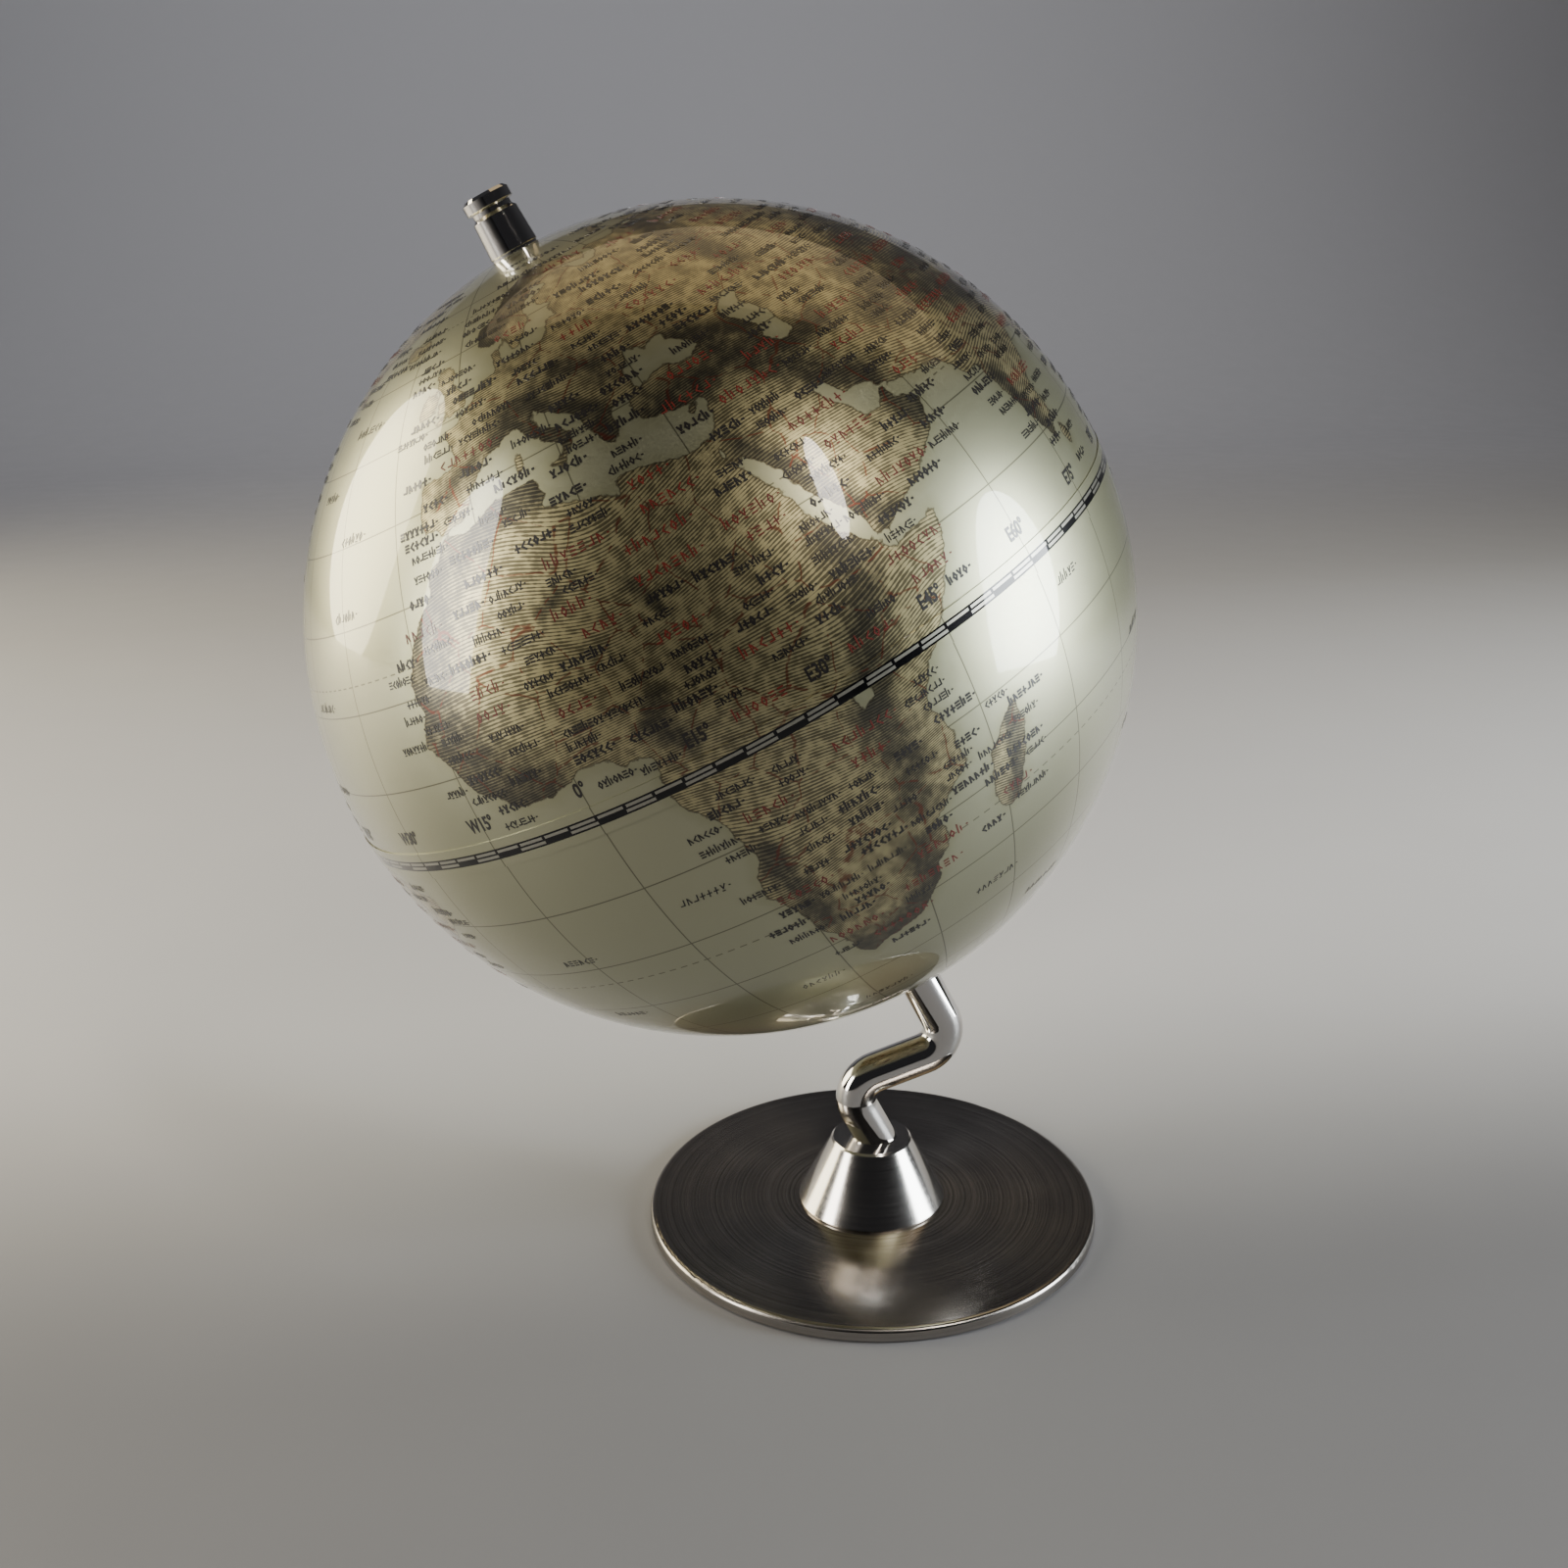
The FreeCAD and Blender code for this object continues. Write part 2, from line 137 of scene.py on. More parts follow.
coasts = {
    "africa": [
        (-6, 35.8), (-2, 35.2), (3, 36.9), (10, 37.3), (11, 35), (10.2, 34), (15, 32.4), (20, 30.8),
        (20, 32.5), (23, 32.6), (29, 31), (32.5, 31.2), (32.6, 29.9), (34, 27), (35.5, 24), (37.2, 21),
        (37.5, 18.5), (39.7, 15.3), (43, 11.8), (44.5, 10.5), (51.2, 11.8), (50.8, 9.5), (47.8, 4.3),
        (43.8, 0.5), (41.5, -2), (39.4, -4.8), (39, -7), (40.5, -10.8), (40.7, -15), (36.8, -18),
        (34.8, -20), (35.5, -23.8), (32.8, -26), (32.3, -28.5), (30, -31.2), (27, -33.6), (22, -34),
        (19.8, -34.8), (18.3, -33.8), (17.3, -30), (15, -26.5), (14.3, -22), (11.8, -17.5), (13.7, -12),
        (12.3, -6), (9, -1), (9.7, 3.8), (8.5, 4.5), (6, 4.3), (4.2, 6.3), (1, 5.9), (-2, 4.8), (-7.7, 4.4),
        (-12.8, 7.5), (-15, 11), (-16.8, 13), (-17.4, 14.7), (-16.3, 18), (-17, 21), (-14.5, 26),
        (-12.5, 28), (-9.7, 30), (-9.5, 32), (-6.8, 34)],
    "eurasia": [
        (32.7, 31.1), (34.3, 31.4), (35.2, 33.2), (36, 36.2), (32, 36), (30.5, 36.6), (27.5, 36.9),
        (26.3, 39.3), (29.2, 41.1), (33.5, 42), (36.5, 41.2), (41.5, 41.5), (39, 44), (37, 45.2),
        (39, 47.2), (35, 46), (33.5, 44.6), (32.5, 46), (30.8, 46.5), (28.3, 43.8), (28.8, 41.3),
        (26, 40.8), (23.8, 40), (24, 37.8), (22.8, 36.5), (21.2, 37.8), (19.4, 41), (19.5, 42), (15.5, 44),
        (13.6, 45.6), (12.4, 44.5), (14, 42.5), (16, 41.6), (18.4, 40), (16.8, 40.6), (17.1, 39),
        (15.8, 38), (15.4, 40), (12.3, 41.7), (10.3, 43.8), (8.8, 44.4), (6, 43.1), (3.2, 43.2), (3, 41.8),
        (0, 39.8), (-0.5, 38), (-2.2, 36.8), (-5.5, 36.1), (-6.5, 37), (-8.9, 37), (-9.4, 38.8), (-8.8, 43),
        (-2, 43.4), (-1.3, 45), (-2.5, 47.3), (-4.6, 48.4), (-1.5, 48.7), (0.2, 49.6), (3, 51.2), (5, 53.2),
        (8.5, 53.8), (8.2, 57), (10.6, 57.6), (10.2, 55), (11, 54), (14.2, 54), (18.6, 54.6), (21, 55.3),
        (21.5, 57.5), (24.3, 57.3), (23.5, 59.3), (30, 59.9), (25, 60.3), (21.5, 61), (21.3, 63),
        (25.3, 65), (22.5, 65.8), (17.5, 62), (18.7, 60), (16.5, 57.3), (14.3, 55.5), (12.8, 55.6),
        (11.3, 58.8), (8, 58.1), (5.3, 59), (5, 61.8), (10, 64), (14.5, 67.8), (20, 69.9), (28, 71),
        (31, 70.2), (41, 67.5), (40, 66), (33, 66.7), (37, 64), (40.5, 64.5), (44, 66), (44, 68.5),
        (54, 68.3), (60, 69), (67, 68.8), (69, 72.5), (73, 71.5), (74, 67), (76, 71.5), (81, 73), (87, 75),
        (104, 77.6), (113, 74), (127, 72.5), (140, 72.6), (160, 69.7), (170, 70), (180, 69), (190, 66),
        (180, 64.5), (178, 62.5), (171, 60), (163, 59.5), (162, 56.5), (156.8, 51.2), (156, 57),
        (163, 62.3), (155, 59.3), (143, 59.3), (135.5, 54.8), (141, 52.5), (140, 48), (133, 43),
        (129.5, 41.5), (127.5, 39.5), (129.4, 36), (126.5, 34.4), (125, 39.6), (121.5, 39), (121.5, 40.8),
        (118, 39), (122.3, 37.2), (119.3, 35), (121.8, 31.5), (121.5, 28.5), (117, 23.5), (110.5, 21.2),
        (108, 21.6), (106, 19), (108.8, 15), (109.2, 11.8), (105, 8.7), (104.8, 10.5), (102, 12.5),
        (100.5, 13.4), (99.3, 10), (103.3, 5), (104.2, 1.4), (101.3, 3), (98.3, 8), (98.7, 13),
        (97.2, 16.8), (94.3, 16), (92.3, 21), (88.5, 21.8), (86.8, 20.5), (82.3, 16.7), (80.2, 15),
        (80, 11), (77.5, 8.1), (75, 12), (72.8, 19), (72.6, 21.5), (70, 20.8), (68.8, 22.5), (66.8, 25),
        (61.5, 25.1), (57.2, 26), (56.4, 27), (51.5, 27.9), (50, 30.2), (48, 30), (50, 26.5), (51.5, 24.5),
        (54.2, 24.2), (56.3, 26.2), (56.6, 24.3), (59.8, 22.5), (57.7, 19), (55.2, 17.4), (52.2, 15.6),
        (45, 12.8), (43.4, 12.7), (42.7, 16.5), (39.2, 21), (38.2, 24), (35, 28), (34.2, 27.8), (32.9, 29.9)],
    "northAmerica": [
        (-168, 65.8), (-162, 66.5), (-166, 68.3), (-156.5, 71.3), (-141, 69.6), (-128, 70.2), (-115, 68),
        (-108, 68.2), (-95, 68), (-94, 72), (-85, 69.7), (-82, 69.5), (-81.5, 67), (-87, 65), (-94, 61),
        (-94.7, 58.8), (-92, 57), (-82.3, 55.2), (-79, 51.5), (-78.7, 55), (-77, 60), (-78, 62.3),
        (-70, 61), (-65, 58.7), (-61, 56), (-56, 52), (-60, 50.2), (-66.5, 50.2), (-65, 48), (-65, 46),
        (-60.5, 46), (-66, 43.6), (-70, 43.5), (-70, 41.7), (-74, 40.6), (-76, 37), (-75.5, 35.3),
        (-81, 31.5), (-80.1, 26), (-81.8, 26), (-83, 29.5), (-89, 30.2), (-94, 29.5), (-97.3, 27.5),
        (-97.5, 22), (-95, 18.5), (-91, 18.6), (-90.3, 21), (-87, 21.4), (-88.3, 16), (-83.3, 15),
        (-83.5, 11), (-80, 9), (-77.3, 8.5), (-79.5, 7.5), (-83, 8.3), (-87.5, 12.8), (-94, 16.1),
        (-99.5, 16.6), (-105.5, 20.4), (-109.3, 25.8), (-112.8, 30.5), (-114.7, 31.7), (-111.8, 27),
        (-109.6, 23), (-112.2, 25.5), (-115, 29), (-117.2, 32.6), (-120.6, 34.6), (-124.2, 40.3),
        (-124, 46), (-123, 49), (-130, 54.5), (-136, 58.5), (-146, 60.8), (-152, 59.3), (-158, 57),
        (-164.5, 54.6), (-158, 58.7), (-165, 61), (-161, 64.2)],
    "southAmerica": [
        (-77.3, 8.5), (-75, 11), (-71.5, 12.3), (-71.5, 10.8), (-62, 10.6), (-52, 5), (-50, 0), (-44, -2.5),
        (-35.2, -5.5), (-35, -9), (-39, -13), (-39.5, -19), (-41.5, -22.8), (-48.5, -26), (-50, -30),
        (-54, -34.5), (-58.4, -34), (-57, -37), (-62, -39), (-65, -41.5), (-66, -45.5), (-69, -50.5),
        (-65.5, -54.7), (-71, -54.5), (-75, -50), (-73.5, -41), (-73.5, -37), (-71.5, -31), (-70.3, -19),
        (-76, -14), (-79.5, -7.5), (-81, -5), (-80.3, -2.5), (-80, 1), (-77.5, 4)],
    "australia": [
        (114, -22), (117, -20.6), (122, -18), (126, -14), (129, -15), (131, -12), (136.5, -12),
        (135.7, -15), (140.5, -17.5), (142.5, -11), (145.3, -15), (146.5, -19), (150.8, -23), (153.3, -27),
        (152.5, -32.5), (150, -37.3), (146.5, -39), (143.5, -38.7), (139.5, -36), (138, -34.5),
        (135.5, -34.8), (131.5, -31.5), (124, -33), (118, -35), (115, -34), (115.7, -31.5), (113.5, -26)],
    "antarctica": [
        (-180, -78), (-155, -77), (-130, -74), (-100, -73), (-75, -73), (-68, -67), (-57, -63.3),
        (-62, -72), (-60, -75), (-35, -78), (-20, -74), (0, -70), (30, -69.5), (60, -67.3), (90, -66.5),
        (120, -66.8), (150, -68.5), (170, -71.5), (164, -78), (180, -78), (180, -90), (-180, -90)],
    "greenland": [
        (-73, 78.3), (-60, 82), (-32, 83.5), (-18, 80), (-20, 74), (-23, 70.3), (-32, 68), (-40, 65),
        (-43.5, 60), (-50, 62), (-53.5, 67), (-52, 70.5), (-58, 75.5)],
    "arcticIslands": [(-90, 77), (-78, 76.3), (-62, 82.5), (-85, 82), (-92, 80)],
    "baffin": [(-80, 73.5), (-68, 70.2), (-62, 66.7), (-66, 62), (-73, 64.5), (-72, 68), (-85, 73)],
    "victoriaIsland": [(-117, 73), (-105, 73), (-105, 69), (-117, 70)],
    "newfoundland": [(-59.3, 47.7), (-56, 51.5), (-53, 47)],
    "madagascar": [(49.3, -12), (50.4, -15.6), (47.2, -24.9), (44, -25), (43.3, -22), (44.4, -16.2)],
    "britain": [
        (-5.6, 50), (1.4, 51.2), (1.7, 52.7), (-1.5, 55), (-1.8, 57.5), (-3, 58.6), (-6, 58.5), (-5, 55),
        (-3, 54), (-4.5, 53), (-5.2, 51.8), (-3, 51.4)],
    "ireland": [(-6.2, 52.2), (-5.6, 54.6), (-8, 55.3), (-10, 53.8), (-10, 51.8)],
    "iceland": [(-24, 65.5), (-22.5, 66.4), (-14.5, 66), (-14, 65), (-18.5, 63.4), (-22.5, 63.9)],
    "sicily": [(12.5, 38), (15.5, 38.2), (15, 36.8)],
    "sardinia": [(8.3, 39), (9.6, 39.2), (9.5, 41.2), (8.3, 41)],
    "cyprus": [(32.4, 35), (34.4, 35.6), (33, 34.6)],
    "ceylon": [(79.8, 8), (80, 9.7), (81.8, 7.5), (80.6, 6)],
    "sumatra": [(95.3, 5.5), (98.5, 3.8), (103.5, 0), (106, -3), (105.7, -5.8), (102, -4), (98.8, 1.5)],
    "java": [(105.3, -6.8), (108.5, -6.7), (114.4, -7.8), (114, -8.6), (108, -7.8)],
    "borneo": [
        (109, 1.5), (111.3, 2.5), (115.5, 5.5), (117, 7), (119, 5), (117.8, 1), (116, -3.5), (114, -4),
        (110.2, -2.8)],
    "celebes": [(119.4, -5.4), (120.5, -2.8), (123, -0.8), (124.9, 1.6), (120.2, 1.2), (119.2, -3)],
    "newGuinea": [
        (131, -0.8), (134, -0.8), (138, -1.7), (145, -4.3), (147.8, -6), (150.7, -10.4), (147, -9.5),
        (142.5, -9.2), (138, -8.2), (137.8, -5.3), (133.5, -4), (133.8, -2.5)],
    "luzon": [(120.3, 16.2), (121, 18.5), (122.2, 18.4), (121.6, 16), (124, 13), (120.8, 13.8)],
    "mindanao": [(122, 7), (124, 8.6), (125.5, 9.7), (126.4, 7.5), (125.4, 5.8)],
    "honshu": [
        (131, 34.2), (136, 36.8), (139.5, 38.5), (140.3, 41.4), (142, 39.5), (140.8, 35.7), (137, 34.6),
        (135.2, 33.6)],
    "hokkaido": [(140, 42), (141.8, 45.4), (145.5, 43.3), (143.2, 42)],
    "kyushu": [(130, 33.8), (131.8, 33.4), (131, 31.2), (130, 32)],
    "formosa": [(121.5, 25.2), (121, 22), (120.1, 23.3)],
    "hainan": [(108.7, 19.2), (110.8, 20.1), (109.6, 18.3)],
    "northIsland": [(173, -34.5), (178.4, -37.7), (175.3, -41.5), (173.8, -39.3), (174.8, -37)],
    "southIsland": [(172.7, -40.6), (174.2, -41.8), (170.5, -46), (166.6, -46), (171, -42.4)],
    "tasmania": [(144.8, -40.8), (148.3, -40.9), (147.5, -43.5), (146, -43.5)],
    "cuba": [(-84.8, 21.9), (-82, 23.2), (-75, 20.7), (-77.5, 19.9), (-80, 21.8)],
    "hispaniola": [(-74.3, 18.5), (-73, 19.9), (-68.5, 18.7), (-71.3, 17.8)],
    "spitsbergen": [(11, 79.5), (25, 80), (17, 76.7)],
    "newLand": [(52, 71), (56, 73.5), (68, 77), (62, 74.5), (57, 70.7)],
    "caspian": [
        (47.5, 45.5), (50, 46.8), (53, 46.5), (51, 44.5), (53, 41.5), (53.8, 37.3), (50.5, 36.8),
        (48.8, 38.5), (50.2, 40.4), (47.5, 43)],
    "lakeVictoria": [(31.8, -2.5), (31.7, 0), (34, 0.4), (34, -1.5), (33, -2.7)],
}

# High ground as (width in degrees, points along the ridge); it takes the charcoal shading
ridges = [
    (3.0, [(-9, 30.5), (-4, 33), (3, 35.5), (9, 36)]),
    (5.5, [(-9, 29), (-12, 24), (-14, 18), (-12, 13), (-9, 8), (-5, 6)]),
    (1.1, [(5, 23), (8, 24.5)]),
    (1.0, [(16, 22), (18, 18)]),
    (3.6, [(38, 15), (39, 10), (37, 6), (35, 1), (33, -5), (34, -10), (33, -16)]),
    (3.4, [(31, -22), (31, -28), (27, -32), (20, -33)]),
    (2.4, [(15, -12), (16, -18), (17, -25)]),
    (2.0, [(14, 4), (11, 7), (13, 10)]),
    (1.6, [(48.6, -13), (47.6, -19), (46.5, -24)]),
    (2.2, [(36, 29), (39, 24), (43, 17), (46, 14)]),
    (2.8, [(57, 24), (58, 22)]),
    (3.0, [(42, 40), (46, 36), (50, 32), (56, 28)]),
    (2.6, [(30, 37.5), (36, 38), (43, 39), (50, 36.5), (58, 37)]),
    (2.4, [(38, 44), (43, 43), (48, 41)]),
    (2.2, [(6, 44.5), (8, 46.4), (14, 47)]),
    (2.0, [(14, 45), (19, 43), (22, 41), (22, 38)]),
    (2.0, [(20, 49), (25, 47.5), (25, 45.5)]),
    (1.8, [(9, 44.3), (13, 42.7), (16, 40)]),
    (1.8, [(-5, 40.5), (1, 42.6)]),
    (3.2, [(7, 60), (13, 65), (19, 69)]),
    (3.0, [(60, 50), (59, 58), (64, 67)]),
    (5.0, [(67, 34), (74, 36), (82, 31), (90, 28.5), (97, 28), (101, 25)]),
    (5.5, [(74, 40), (84, 43), (90, 47), (98, 51), (110, 54), (122, 56)]),
    (4.0, [(78, 36), (90, 36.5), (100, 37)]),
    (2.0, [(74.5, 19), (76, 13), (77, 9.5)]),
    (4.0, [(130, 66), (140, 65), (152, 64), (165, 66)]),
    (4.5, [(-150, 62), (-135, 60), (-122, 52), (-113, 45), (-107, 38), (-106, 31), (-103, 24)]),
    (2.6, [(-121, 46), (-120, 38), (-117, 33)]),
    (2.4, [(-83, 35), (-77, 40), (-71, 44)]),
    (3.2, [(-75, 8), (-77, 1), (-78, -6), (-73, -14), (-68, -20), (-69, -30), (-71, -40), (-73, -50)]),
    (3.0, [(-46, -19), (-42, -13)]),
    (3.0, [(146, -18), (150, -26), (149, -34), (146, -37)]),
    (2.0, [(134, -3), (140, -4.5), (147, -8)]),
    (1.6, [(98, 3), (103, -3)]),
    (1.6, [(111, 0), (116, 4)]),
]

farAway = 6.0   # degrees, past which no distance is needed


def alongLine(lon, lat, start, end):
    # Distance in degrees from each place to one straight run, on a flat map about that place
    squeeze = np.cos(np.radians(lat))
    startX, startY = (start[0] - lon) * squeeze, start[1] - lat
    stepX, stepY = (end[0] - start[0]) * squeeze, end[1] - start[1]
    share = -(startX * stepX + startY * stepY) / np.maximum(stepX**2 + stepY**2, 1e-9)
    share = np.clip(share, 0, 1)
    return np.hypot(startX + share * stepX, startY + share * stepY)


def insideOutline(lon, lat, points):
    # Even-odd crossing count, eastwards along each place's parallel
    inside = np.zeros(len(lon), bool)
    for (lonA, latA), (lonB, latB) in zip(points, points[1:] + points[:1]):
        if latA == latB:
            continue
        crossing = (latA > lat) != (latB > lat)
        meets = lonA + (lat - latA) * (lonB - lonA) / (latB - latA)
        inside ^= crossing & (lon < meets)
    return inside


def coastDistance(lon, lat):
    # Degrees to the nearest coast: positive on land, negative at sea
    nearest = np.full(len(lon), farAway)
    land = np.zeros(len(lon), bool)
    for points in coasts.values():
        lons, lats = np.array(points, float).T
        reach = farAway / np.cos(np.radians(min(75, abs(lats).max())))
        for shift in (0, 360, -360):
            near = (lon + shift > lons.min() - reach) & (lon + shift < lons.max() + reach)
            near &= (lat > lats.min() - farAway) & (lat < lats.max() + farAway)
            picked = np.nonzero(near)[0]
            someLon, someLat = lon[picked] + shift, lat[picked]
            land[picked] ^= insideOutline(someLon, someLat, points)
            for start, end in zip(points, points[1:] + points[:1]):
                beside = np.abs(someLat - (start[1] + end[1]) / 2) < farAway + abs(start[1] - end[1]) / 2
                some = picked[beside]
                if len(some) and min(start[1], end[1]) > -85:
                    away = alongLine(someLon[beside], someLat[beside], start, end)
                    nearest[some] = np.minimum(nearest[some], away)
    return np.where(land, nearest, -nearest)


def highGround(lon, lat):
    # 1 along a ridge, fading to 0 at its width
    height = np.zeros(len(lon))
    for width, points in ridges:
        for start, end in zip(points, points[1:]):
            distance = alongLine(lon, lat, start, end)
            height = np.maximum(height, np.clip(1.25 - distance / width, 0, 1))
    return height


def onMap(vertices):
    # Longitude and latitude of points about the ball's own upright axis
    radius = np.linalg.norm(vertices, axis=1)
    lon = np.degrees(np.arctan2(vertices[:, 1], vertices[:, 0]))
    return lon, np.degrees(np.arcsin(np.clip(vertices[:, 2] / radius, -1, 1)))


def writeMap(piece):
    # Stores on each vertex how far it is from the coast, and how high the ground is
    flat = np.zeros(len(piece.data.vertices) * 3)
    piece.data.vertices.foreach_get("co", flat)
    lon, lat = onMap(flat.reshape(-1, 3))
    for name, values in (("coast", coastDistance(lon, lat)), ("relief", highGround(lon, lat))):
        layer = piece.data.attributes.new(name, "FLOAT", "POINT")
        layer.data.foreach_set("value", values.astype(np.float32))


def makeSkin(name, radius, thick, low, high, look):
    # A thin band of a sphere: an arc between two heights, spun about the axis, with a wall inwards
    deselectAll()
    bpy.ops.mesh.primitive_circle_add(vertices=look["rings"] * 2, radius=radius, rotation=(math.pi / 2, 0, 0))
    piece = takeNew(name)
    applyPlace(piece)
    bpy.ops.object.mode_set(mode="EDIT")
    cuts = (((0, 0, low), (0, 0, 1)), ((0, 0, high), (0, 0, -1)), ((radius / 1000, 0, 0), (1, 0, 0)))
    for place, keepSide in cuts:
        bpy.ops.mesh.select_all(action="SELECT")
        bpy.ops.mesh.bisect(plane_co=place, plane_no=keepSide, clear_inner=True)
    bpy.ops.mesh.select_all(action="SELECT")
    bpy.ops.mesh.spin(steps=look["segments"], angle=math.tau, center=(0, 0, 0), axis=(0, 0, 1))
    bpy.ops.mesh.select_all(action="SELECT")
    bpy.ops.mesh.remove_doubles(threshold=1e-6)
    bpy.ops.mesh.normals_make_consistent(inside=False)
    bpy.ops.object.mode_set(mode="OBJECT")
    writeMap(piece)
    applyModifier(piece, "SOLIDIFY", thickness=thick, offset=-1)
    bpy.ops.object.shade_smooth_by_angle(angle=math.radians(40))
    piece.matrix_world = ballPlace
    applyPlace(piece)
    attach(piece, "globe")
    return piece


poleHeight = math.sqrt(ball["radius"] ** 2 - ball["poleHole"] ** 2)
northSkin = makeSkin("north_map_print", ball["radius"], ball["mapThick"], 0, poleHeight, ball)
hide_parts("north_map")
southSkin = makeSkin("south_map_print", ball["radius"], ball["mapThick"], -poleHeight, 0, ball)
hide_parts("south_map")
equatorBand = makeSkin("equator_tape_print", tape["inner"] + tape["thick"], tape["thick"],
                       -tape["halfWidth"], tape["halfWidth"], tape)
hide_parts("equator_tape")
print("map skins made")


# Ink: degree numbers, and strokes that stand in for place names

ink = {
    "above": 0.02 * mm,       # how far the ink stands off the map
    "thick": 0.02 * mm,
    "numberHeight": 2.0 * mm,
    "numberToFont": 1.35,     # font size over the height of its digits
    "numberNarrow": 0.72,
    "numberBold": 0.08 * mm,
    "numberLatitude": 3.9,
    "numberEvery": 15,
    "numberClear": (2, 6.4, 4.5),   # latitudes kept free of names, and degrees to each side
    "barClear": 2.8,
    "sineRange": (-0.86, 0.97),     # names keep between these sines of latitude
    "triesEach": 30,
    "nameSeed": 7,
    "townNames": 900,
    "landNames": 130,
    "seaNames": 60,
}

# Abstract marks on a unit cell: bars, hooks and chevrons that fill the place of a name and spell nothing
strokeShapes = [
    [[(0, 0), (0, 0.95)], [(0.3, 0.1), (0.3, 0.55)]],
    [[(0, 0.1), (0.38, 0.1), (0.38, 0.7)]],
    [[(0, 0.7), (0.2, 0.25), (0.4, 0.7)], [(0.1, 0), (0.3, 0)]],
    [[(0, 0.35), (0.4, 0.35)], [(0.2, 0), (0.2, 0.7)]],
    [[(0, 0.05), (0.4, 0.05)], [(0, 0.38), (0.4, 0.38)], [(0, 0.7), (0.4, 0.7)]],
    [[(0.05, 0), (0.05, 0.7)], [(0.4, 0.1), (0.15, 0.6)]],
    [[(0.4, 0), (0.05, 0.35), (0.4, 0.7)]],
    [[(0.2, 0.7), (0, 0.35), (0.2, 0), (0.4, 0.35), (0.2, 0.7)]],
]
placeDot = [[(0.12, 0.4), (0.2, 0.4)]]   # the spot that marks a town, after its name


def wrapOnBall(points, lon, lat, radius):
    # Lays flat (x, y, z) points on the ball, x along the parallel and z outwards
    lonHere = math.radians(lon) + points[:, 0] / (radius * math.cos(math.radians(lat)))
    latHere = math.radians(lat) + points[:, 1] / radius
    out = radius + points[:, 2]
    return np.stack([out * np.cos(latHere) * np.cos(lonHere), out * np.cos(latHere) * np.sin(lonHere),
                     out * np.sin(latHere)], axis=1)


def makeNumber(text, lon):
    # One degree number in the plain built-in font, laid on the ball and given a thickness
    deselectAll()
    bpy.ops.object.text_add()
    word = bpy.context.object
    word.data.body = text
    word.data.align_x = "CENTER"
    word.data.align_y = "CENTER"
    word.data.size = ink["numberHeight"] * ink["numberToFont"]
    word.data.offset = ink["numberBold"]
    word.data.extrude = ink["thick"] / 2
    word.data.resolution_u = 3
    bpy.ops.object.convert(target="MESH")
    word = bpy.context.object
    flat = np.zeros(len(word.data.vertices) * 3)
    word.data.vertices.foreach_get("co", flat)
    narrow = flat.reshape(-1, 3) * (ink["numberNarrow"], 1, 1)
    laid = wrapOnBall(narrow, lon, ink["numberLatitude"], ball["radius"] + ink["above"] + ink["thick"] / 2)
    word.data.vertices.foreach_set("co", laid.ravel())
    return word


def makeNumbers():
    words = []
    for degrees in range(-180 + ink["numberEvery"], 181, ink["numberEvery"]):
        side = "W" if degrees < 0 else "E"
        text = f"{abs(degrees)}°" if degrees in (0, 180) else f"{side}{abs(degrees)}°"
        words.append(makeNumber(text, degrees))
    deselectAll()
    for word in words:
        word.select_set(True)
    bpy.context.view_layer.objects.active = words[0]
    bpy.ops.object.join()
    piece = takeNew("degree_numbers")
    bpy.ops.object.mode_set(mode="EDIT")
    bpy.ops.mesh.select_all(action="SELECT")
    bpy.ops.mesh.remove_doubles(threshold=1e-6)
    bpy.ops.mesh.normals_make_consistent(inside=False)
    bpy.ops.object.mode_set(mode="OBJECT")
    piece.matrix_world = ballPlace
    applyPlace(piece)
    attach(piece, "globe")
    return piece


def nameStrokes(count, look, chance):
    # Flat quads for one name: a row of stroke shapes, centred, in the map's own plane
    quads = []
    height, width, slant = look["height"], look["width"], look["slant"]
    pitch = height * look["spread"]
    start = -pitch * count / 2
    shapes = [chance.choice(strokeShapes) for place in range(count)] + [placeDot]
    for place, shape in enumerate(shapes):
        for line in shape:
            for (xa, ya), (xb, yb) in zip(line, line[1:]):
                a = Vector((start + place * pitch + (xa + slant * ya) * height, (ya - 0.4) * height))
                b = Vector((start + place * pitch + (xb + slant * yb) * height, (yb - 0.4) * height))
                along = (b - a).normalized() * width / 2
                side = Vector((-along.y, along.x))
                quads.append([a - along - side, b + along - side, b + along + side, a - along + side])
    return quads


def findPlaces(count, wanted, space, taken, chance):
    # Scatters names where the map wants them, each clear of the names already there
    spaceLon, spaceLat = space
    numberLow, numberHigh, numberSide = ink["numberClear"]
    every = ink["numberEvery"]
    tries = [(chance.uniform(-180, 180), math.degrees(math.asin(chance.uniform(*ink["sineRange"]))))
             for attempt in range(count * ink["triesEach"])]
    coast = coastDistance(*np.array(tries).T)
    places = []
    for (lon, lat), depth in zip(tries, coast):
        if len(places) == count:
            break
        nearBar = abs(lat) < ink["barClear"]
        toNumber = abs((lon + every / 2) % every - every / 2)
        nearNumber = numberLow < lat < numberHigh and toNumber < numberSide
        if not wanted(depth) or nearBar or nearNumber:
            continue
        if taken:
            lons, lats, wides, talls = np.array(taken).T
            apart = np.abs((lon - lons + 180) % 360 - 180) * math.cos(math.radians(lat))
            if np.any((apart < spaceLon + wides) & (np.abs(lat - lats) < (spaceLat + talls) / 2)):
                continue
        places.append((lon, lat))
        taken.append((lon, lat, spaceLon, spaceLat))
    return places


